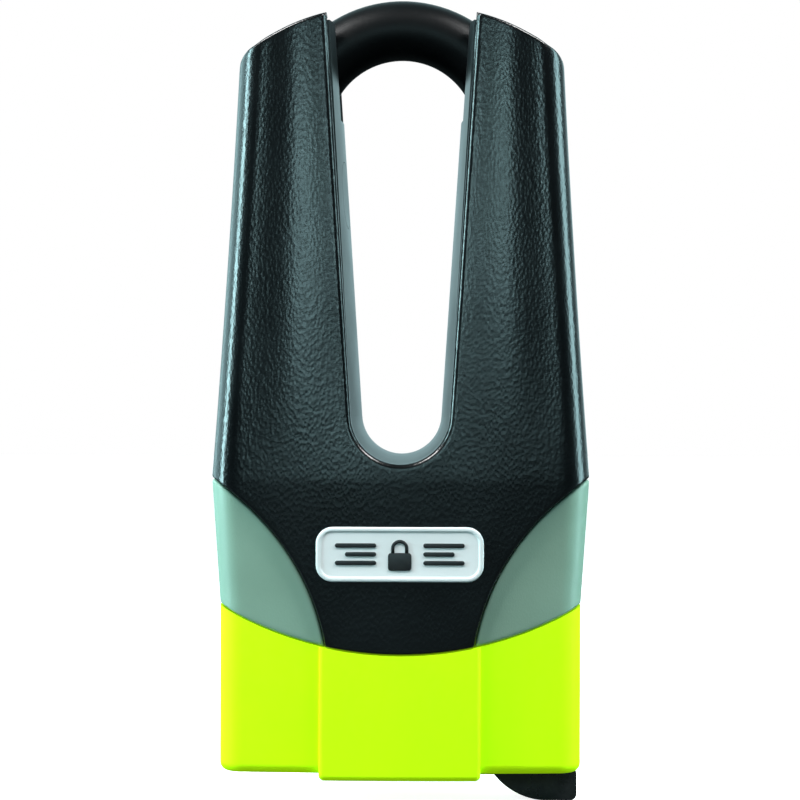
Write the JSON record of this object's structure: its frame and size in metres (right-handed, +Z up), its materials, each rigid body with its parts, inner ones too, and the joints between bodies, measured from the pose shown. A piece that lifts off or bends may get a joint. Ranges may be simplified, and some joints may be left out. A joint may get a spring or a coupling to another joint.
{
  "type": "motorcycle brake disc lock",
  "caption": "Long-shackle motorcycle disc lock: removable U-shaped bar in two jacketed arms, key cylinder with swing cover underneath.",
  "frame": {"origin": "on the lock cylinder's axis, level with the lowest edge of the base cap: the middle of the key's way in", "axes": "+Z up along the shackle legs, the front with the badge faces -Y, +X towards the keyhole cover's finger tab"},
  "size_m": [0.0684, 0.0363, 0.1472],
  "materials": {
    "black_grained": "fine leather-like grain, satin",
    "black_smooth": "smooth satin",
    "panel_grey": "fine grain, satin",
    "cap_yellow": "fluorescent yellow-green, smooth satin",
    "bar_black": "smooth black coat on hardened steel",
    "zinc_steel": "zinc plated",
    "hard_steel": "ground and hardened",
    "brass": "machined",
    "rubber": "matt",
    "badge_white": "smooth white",
    "tab_black": "smooth gloss"
  },
  "bodies": {
    "lock": {"front_cover": "black_grained", "rear_cover": "black_grained", "base_cap": "cap_yellow", "window_liner": "black_smooth", "liner_plug": "black_smooth", "badge_plate": "badge_white", "lock_body": "zinc_steel", "cylinder_housing": "brass", "cylinder_pin": "hard_steel", "rear_screws": "zinc_steel", "base_screws": "zinc_steel", "cover_pivot": "hard_steel", "side_panel_left": "panel_grey", "side_panel_right": "panel_grey", "leg_guard_left": "hard_steel", "leg_guard_right": "hard_steel", "leg_wiper_left": "rubber", "leg_wiper_right": "rubber", "leg_buffer_left": "rubber", "leg_buffer_right": "rubber"},
    "shackle": {"shackle": "bar_black"},
    "cylinder_core": {"key_plug": "brass", "guard_disc": "hard_steel", "locking_discs": "brass", "spacer_discs": "hard_steel", "sidebar": "hard_steel", "drive_cam": "hard_steel", "cam_ring": "hard_steel"},
    "bolt_left": {"locking_bolt_left": "hard_steel"},
    "bolt_right": {"locking_bolt_right": "hard_steel"},
    "keyhole_cover": {"keyhole_cover": "tab_black", "pivot_washer": "hard_steel"}
  },
  "joints": [
    {"name": "shackle_lift", "type": "slide", "parent": "lock", "child": "shackle", "axis": [0, 0, 1], "range_m": [0, 0.12]},
    {"name": "cylinder_turn", "type": "hinge", "parent": "lock", "child": "cylinder_core", "pos_m": [0, 0, 0.02], "axis": [0, 0, 1], "range_deg": [-90, 0]},
    {"name": "bolt_left_slide", "type": "slide", "parent": "lock", "child": "bolt_left", "axis": [-1, 0, 0], "range_m": [0, 0.0033]},
    {"name": "bolt_right_slide", "type": "slide", "parent": "lock", "child": "bolt_right", "axis": [1, 0, 0], "range_m": [0, 0.0033]},
    {"name": "keyhole_cover_swing", "type": "hinge", "parent": "lock", "child": "keyhole_cover", "pos_m": [0.0105, 0, 0], "axis": [0, 0, -1], "range_deg": [0, 55]}
  ],
  "couplings": [
    {"joint": "cylinder_turn", "follows": "bolt_left_slide", "rad_per_m": -475.9},
    {"joint": "bolt_right_slide", "follows": "bolt_left_slide", "ratio": 1}
  ]
}
